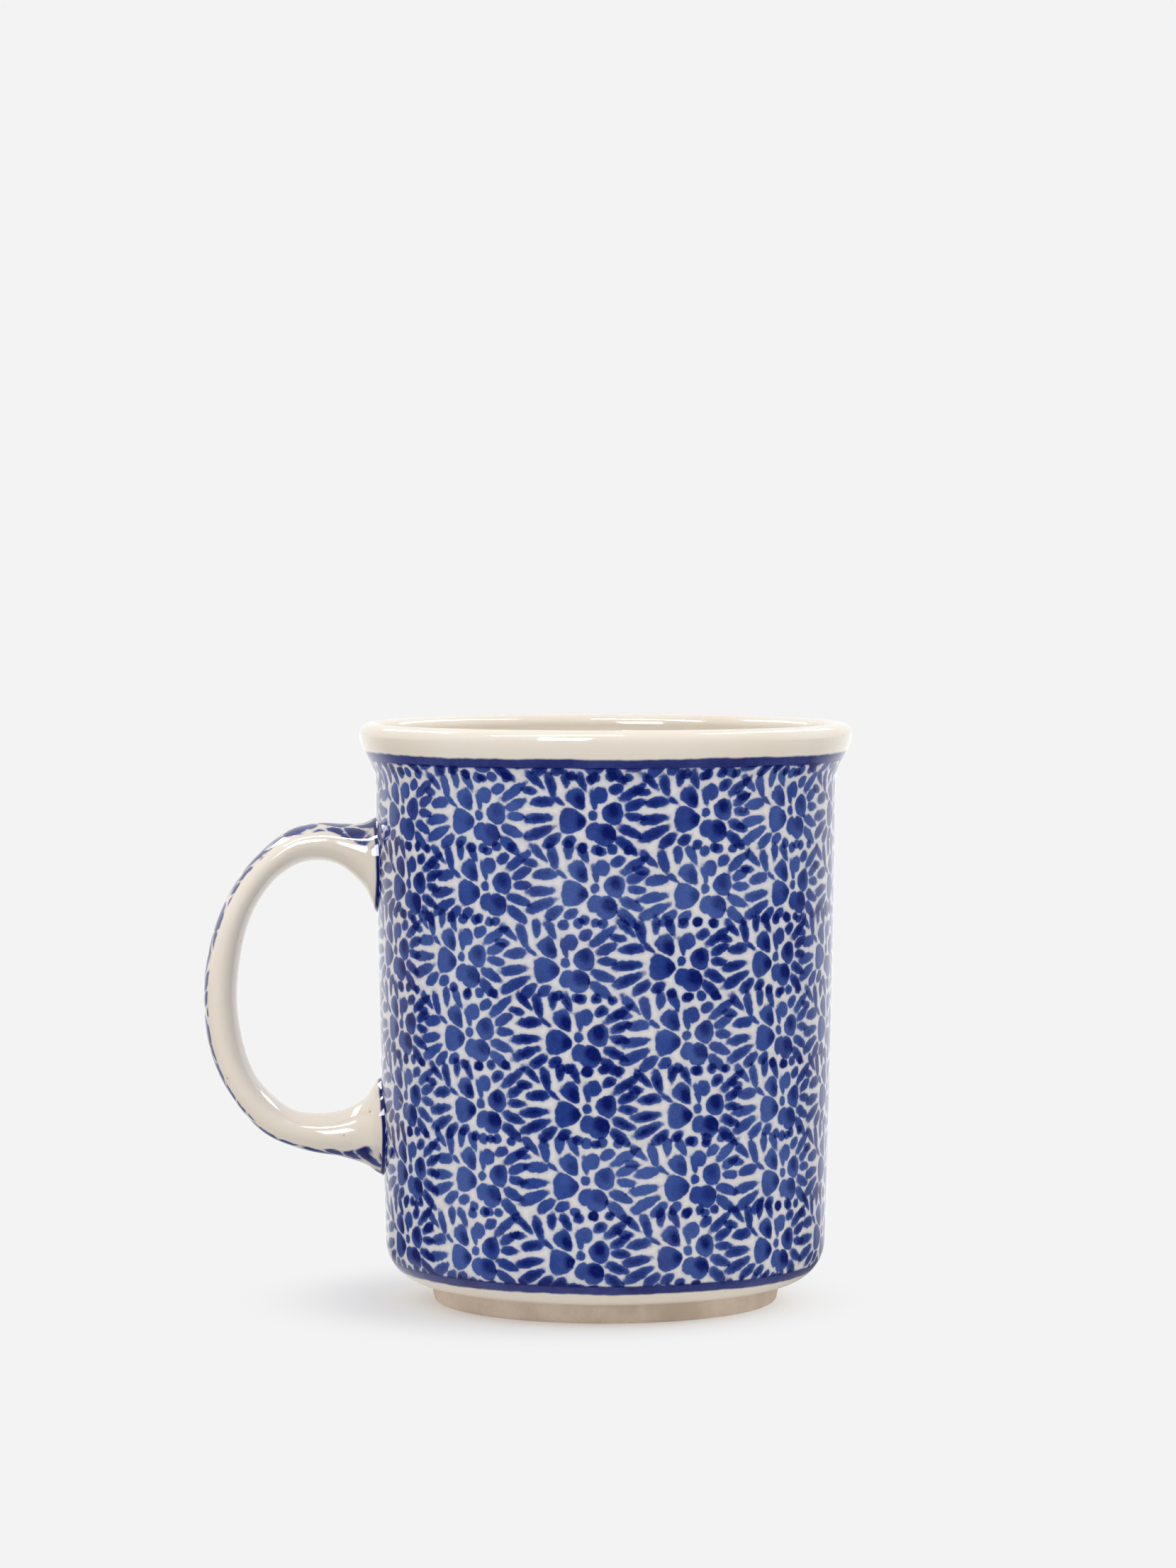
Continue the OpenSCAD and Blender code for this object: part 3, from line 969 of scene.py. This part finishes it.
def handle_glaze():
    """The handle: cream, stamped along its back, with cobalt pooled where it meets the wall."""
    material, graph, shader, point = new_material("handle_glaze")
    along = graph.node("ShaderNodeAttribute", attribute_name="along").outputs["Fac"]
    back = graph.node("ShaderNodeAttribute", attribute_name="back").outputs["Fac"]
    split = graph.split(point)
    first_row = bpy.context.scene.mug_stamps.first_row / MM
    across = graph.math("MULTIPLY_ADD", split["Y"], 1 / MM, first_row)
    stamps = graph.use(shared(sponge_stamp_group), Around=along, Up=across, Point=point)
    rag = graph.waver(point, 260.0, 2.0, 0.3)
    off_wall = graph.use(shared(off_wall_group), Point=point)["Distance"]
    broad = graph.ease(off_wall, 9.0, 3.0, 0.0, 0.3)
    on_back = graph.ease(graph.math("ADD", graph.math("ADD", back, rag), broad), 0.58, 0.68)
    pool = graph.ease(graph.math("ADD", off_wall, rag), 0.75, 0.4)
    ink = graph.math("MAXIMUM", graph.times(stamps["Ink"], on_back), pool)
    depth = graph.math("MAXIMUM", graph.math("ADD", stamps["Depth"], 0.35), pool)
    ground = glaze_ground(graph, point, "cream", "cream_warm", 0.7)
    painted = graph.use(shared(cobalt_group), Point=point, Ground=ground, Ink=ink,
                        Depth=depth, Violet=graph.times(pool, 0.5))["Color"]
    glaze_over(graph, shader, point, painted, HANDLE_SHINE)
    return material


def table_top():
    """The pale sweep under the mug. It glows by itself, and the glow fades towards the foot and
    leans towards the handle: painted shadow over the faint real one.
    """
    studio = bpy.context.scene.mug_studio
    material, graph, shader, point = new_material("pale_table")
    # Painted shadow: round the foot, with its middle moved towards the handle, the table glows less
    # and keeps more of its grey, so it is darker there even where nothing shades it.
    middle = graph.vector("ADD", point, (studio.shade_aside, 0.0, 0.0))
    out_of_painted_shadow = graph.ease(graph.vector("LENGTH", middle, output="Value"), studio.shade_start,
                      studio.shade_end)
    near, far = (studio.table_grey,) * 3 + (1.0,), BLACK
    graph.feed(shader.inputs["Base Color"], graph.blend(out_of_painted_shadow, near, far))
    shader.inputs["Roughness"].default_value = 1.0
    shader.inputs["Specular IOR Level"].default_value = 0.0
    shader.inputs["Emission Color"].default_value = WHITE
    # Painted reflection: to the glaze's mirroring, the table glows dim in front of the mug and at
    # its sides and bright behind it; other rays see it as evenly bright as the backdrop.
    facing = graph.vector("NORMALIZE", point)
    behind = graph.ease(graph.split(facing)["Y"], 0.35, 0.9,
                        studio.front_glare, 1.0 + studio.side_glare)
    mirrored = graph.node("ShaderNodeLightPath").outputs["Is Glossy Ray"]
    far_glow = graph.mix(mirrored, studio.backdrop, behind)
    glow = graph.mix(out_of_painted_shadow, studio.painted_table_glow, far_glow)
    graph.feed(shader.inputs["Emission Strength"], glow)
    return material


# ---------------------------------------------------------------------------------------------
# Operators, one for each piece or group of like pieces
# ---------------------------------------------------------------------------------------------

class MUG_OT_clay_cup(bpy.types.Operator):
    """Turn the clay cup with its foot ring"""

    bl_idname = "mug.clay_cup"
    bl_label = "Clay cup"

    def execute(self, context):
        cup = cup_sizes()
        shape = context.scene.mug_shape
        edge = shape.foot_edge
        seat = cup.foot + shape.foot_flare
        start = cup.lower_line[0]
        foot_outside = arc(cup.foot - edge, edge, edge, -90, 0, 5)
        foot_inside = arc(cup.recess + edge, edge, edge, 180, 270, 5)
        ceiling = cup.recess_z + cup.coat
        outline = ([(0.0, ceiling), (cup.recess, ceiling)] + foot_inside + foot_outside
                   + [(seat, cup.foot_height)]
                   + base_curve(cup, start, cup.coat)
                   + outer_side(cup, start, cup.lip_z - LIP_START, cup.coat, HIDDEN_STEP)[1:]
                   + inner_side(cup, cup.coat))
        piece = turn_on_wheel("clay_cup", outline, closed=False)
        finish_piece(piece, ["cup_body"], bare_stoneware(), 50.0)
        return {"FINISHED"}


class MUG_OT_liner(bpy.types.Operator):
    """Coat the inside and the lip with cream glaze"""

    bl_idname = "mug.liner"
    bl_label = "Liner glaze"

    def execute(self, context):
        cup = cup_sizes()
        start = cup.upper_line[1] + context.scene.mug_shape.line_overlap
        end = cup.lip_z - LIP_START
        outline = (outer_side(cup, start, end, 0.0) + inner_side(cup, 0.0)
                   + inner_side(cup, cup.coat)[::-1]
                   + outer_side(cup, start, end, cup.coat, HIDDEN_STEP)[::-1])
        piece = turn_on_wheel("liner_coat", outline, closed=True)
        finish_piece(piece, ["liner_glaze"], shared(cream_glaze))
        return {"FINISHED"}


class MUG_OT_stamped_wall(bpy.types.Operator):
    """Coat the wall with its stamped pattern"""

    bl_idname = "mug.stamped_wall"
    bl_label = "Stamped wall"

    def execute(self, context):
        cup = cup_sizes()
        overlap = context.scene.mug_shape.line_overlap
        start, end = cup.lower_line[1] - overlap, cup.upper_line[0] + overlap
        outline = (outer_side(cup, start, end, 0.0)
                   + outer_side(cup, start, end, cup.coat, HIDDEN_STEP)[::-1])
        piece = turn_on_wheel("stamped_wall", outline, closed=True)
        finish_piece(piece, ["stamped_coat"], stamped_glaze())
        return {"FINISHED"}


class MUG_OT_painted_lines(bpy.types.Operator):
    """Paint the cobalt lines under the lip and over the base"""

    bl_idname = "mug.painted_lines"
    bl_label = "Painted lines"

    def execute(self, context):
        cup = cup_sizes()
        overlap = context.scene.mug_shape.line_overlap
        for node, shift in (("upper_line", overlap), ("lower_line", -overlap)):
            line = getattr(cup, node)
            start, end = (z + shift for z in line)
            outline = (outer_side(cup, start, end, 0.0, LINE_STEP)
                       + outer_side(cup, start, end, cup.coat)[::-1])
            piece = turn_on_wheel("cobalt_" + node, outline, closed=True)
            finish_piece(piece, [node], line_glaze(node + "_glaze", line))
        return {"FINISHED"}


class MUG_OT_base(bpy.types.Operator):
    """Coat the bottom curve and the recess in the foot"""

    bl_idname = "mug.base"
    bl_label = "Base glaze"

    def execute(self, context):
        cup = cup_sizes()
        shape = context.scene.mug_shape
        glaze = shared(cream_glaze)
        top = cup.lower_line[0] - shape.line_overlap
        wiped_edge = [(cup.foot + shape.foot_flare, cup.foot_height)]
        curve = wiped_edge + base_curve(cup, top, 0.0) + base_curve(cup, top, cup.coat)[::-1]
        piece = turn_on_wheel("base_coat", curve, closed=True)
        finish_piece(piece, ["base_glaze"], glaze)
        low, high = cup.recess_z, cup.recess_z + cup.coat
        edge = arc(cup.recess - RECESS_FILLET, low - RECESS_FILLET, RECESS_FILLET, 90, 0, 6)
        recess = ([(cup.recess * k / 6, low) for k in range(6)] + edge
                  + [(cup.recess, high), (0.0, high)])
        piece = turn_on_wheel("recess_coat", recess, closed=False)
        finish_piece(piece, ["underside_glaze"], glaze)
        return {"FINISHED"}


class MUG_OT_handle(bpy.types.Operator):
    """Pull the handle and lute it to the wall at both ends"""

    bl_idname = "mug.handle"
    bl_label = "Handle and joints"

    def execute(self, context):
        glaze = handle_glaze()
        joint, end = JOINT_RINGS, LAST_RING - JOINT_RINGS
        stretches = [
            ("pulled_handle", joint, end, "handle", "stamped_glaze"),
            ("upper_slip_joint", 0.0, joint, "upper_joint", "cobalt_glaze"),
            ("lower_slip_joint", end, float(LAST_RING), "lower_joint", "cobalt_glaze"),
        ]
        for name, start, stop, node, slot in stretches:
            finish_piece(loft_handle(name, start, stop), [node], glaze)
        return {"FINISHED"}


class MUG_OT_stage(bpy.types.Operator):
    """Set the table, the light tent and the camera"""

    bl_idname = "mug.stage"
    bl_label = "Stage"

    def execute(self, context):
        studio = context.scene.mug_studio
        lit = bpy.data.collections.new("lit_by_soft_boxes")
        for piece in context.scene.objects:
            if piece.type == "MESH" and not piece.hide_render:
                lit.objects.link(piece)
        self.lay_table()
        self.hang_tent(context, studio)
        self.hang_soft_boxes(studio, lit)
        self.place_camera(context, studio)
        context.scene.view_settings.view_transform = "Standard"
        return {"FINISHED"}

    def lay_table(self):
        bpy.ops.object.select_all(action="DESELECT")
        bpy.ops.mesh.primitive_plane_add(size=12.0)
        table = bpy.context.object
        table.name = "table"
        bpy.ops.object.mode_set(mode="EDIT")
        bpy.ops.mesh.subdivide(number_cuts=3)
        bpy.ops.object.mode_set(mode="OBJECT")
        table.data.materials.append(table_top())

    def hang_tent(self, context, studio):
        world = bpy.data.worlds.new("light_tent")
        world.use_nodes = True
        graph = Graph(world.node_tree)
        ray = graph.node("ShaderNodeLightPath").outputs
        front = graph.math("MULTIPLY_ADD", ray["Is Glossy Ray"], studio.front_glare - studio.front,
                           studio.front)
        direction = graph.node("ShaderNodeTexCoord").outputs["Generated"]
        part = graph.split(direction)
        behind = graph.ease(graph.math("MULTIPLY_ADD", part["Z"], 0.9, part["Y"]), -0.6, 0.5)
        sideways = graph.times(graph.math("ABSOLUTE", part["X"]), ray["Is Glossy Ray"])
        back = graph.math("MULTIPLY_ADD", sideways, studio.side_glare, 1.0)
        cast = graph.times(graph.mix(behind, front, back), studio.tent)
        strength = graph.mix(ray["Is Camera Ray"], cast, studio.backdrop)
        background = world.node_tree.nodes["Background"]
        background.inputs["Color"].default_value = WHITE
        graph.feed(background.inputs["Strength"], strength)
        context.scene.world = world

    def hang_soft_boxes(self, studio, lit):
        for name, start, end, width, watts, lights_clay in SOFT_BOXES:
            start, end = Vector(start), Vector(end)
            side = (end - start).normalized()
            middle = (start + end) / 2
            back = (middle - Vector((0.0, 0.0, cad_box[1].z / 2))).normalized()
            back = (back - back.dot(side) * side).normalized()
            turn = Matrix((side, back.cross(side), back)).transposed()
            bpy.ops.object.light_add(type="AREA", location=middle, rotation=turn.to_euler())
            light = bpy.context.object
            light.name = name
            light.data.shape = "RECTANGLE"
            light.data.size, light.data.size_y = (end - start).length, width
            light.data.energy = watts * studio.glare
            light.visible_diffuse = lights_clay
            light.visible_glossy = not lights_clay
            light.light_linking.receiver_collection = lit

    def place_camera(self, context, studio):
        place = (-studio.aside, -studio.distance, studio.eye_height)
        tilt = (math.pi / 2 - studio.tilt, 0.0, 0.0)
        bpy.ops.object.camera_add(location=place, rotation=tilt)
        camera = bpy.context.object
        camera.data.sensor_width = 36.0
        camera.data.lens = studio.lens
        context.scene.camera = camera


class MUG_PT_sidebar(bpy.types.Panel):
    """Lists the mug's operators and sizes in the 3D view's sidebar"""

    bl_idname = "MUG_PT_sidebar"
    bl_label = "Stoneware mug"
    bl_space_type = "VIEW_3D"
    bl_region_type = "UI"
    bl_category = "Mug"

    def draw(self, context):
        layout = self.layout
        for operator in OPERATORS:
            layout.operator(operator.bl_idname)
        for group in SETTINGS:
            box = layout.box()
            values = getattr(context.scene, group)
            for name in values.bl_rna.properties.keys():
                if name not in ("rna_type", "name"):
                    box.prop(values, name)


OPERATORS = [MUG_OT_clay_cup, MUG_OT_liner, MUG_OT_stamped_wall, MUG_OT_painted_lines,
             MUG_OT_base, MUG_OT_handle, MUG_OT_stage]
SETTINGS = {"mug_shape": MugShape, "mug_stamps": StampLayout, "mug_colours": GlazeColours,
            "mug_studio": StudioLight}


def register():
    for cls in [*SETTINGS.values(), *OPERATORS, MUG_PT_sidebar]:
        bpy.utils.register_class(cls)
    for name, cls in SETTINGS.items():
        setattr(bpy.types.Scene, name, PointerProperty(type=cls))


def unregister():
    for name in SETTINGS:
        delattr(bpy.types.Scene, name)
    for cls in [MUG_PT_sidebar, *reversed(OPERATORS), *SETTINGS.values()]:
        bpy.utils.unregister_class(cls)


def main():
    register()
    bpy.ops.mug.clay_cup()
    bpy.ops.mug.liner()
    bpy.ops.mug.stamped_wall()
    bpy.ops.mug.painted_lines()
    bpy.ops.mug.base()
    bpy.ops.mug.handle()
    bpy.ops.mug.stage()


if __name__ == "__main__":
    main()
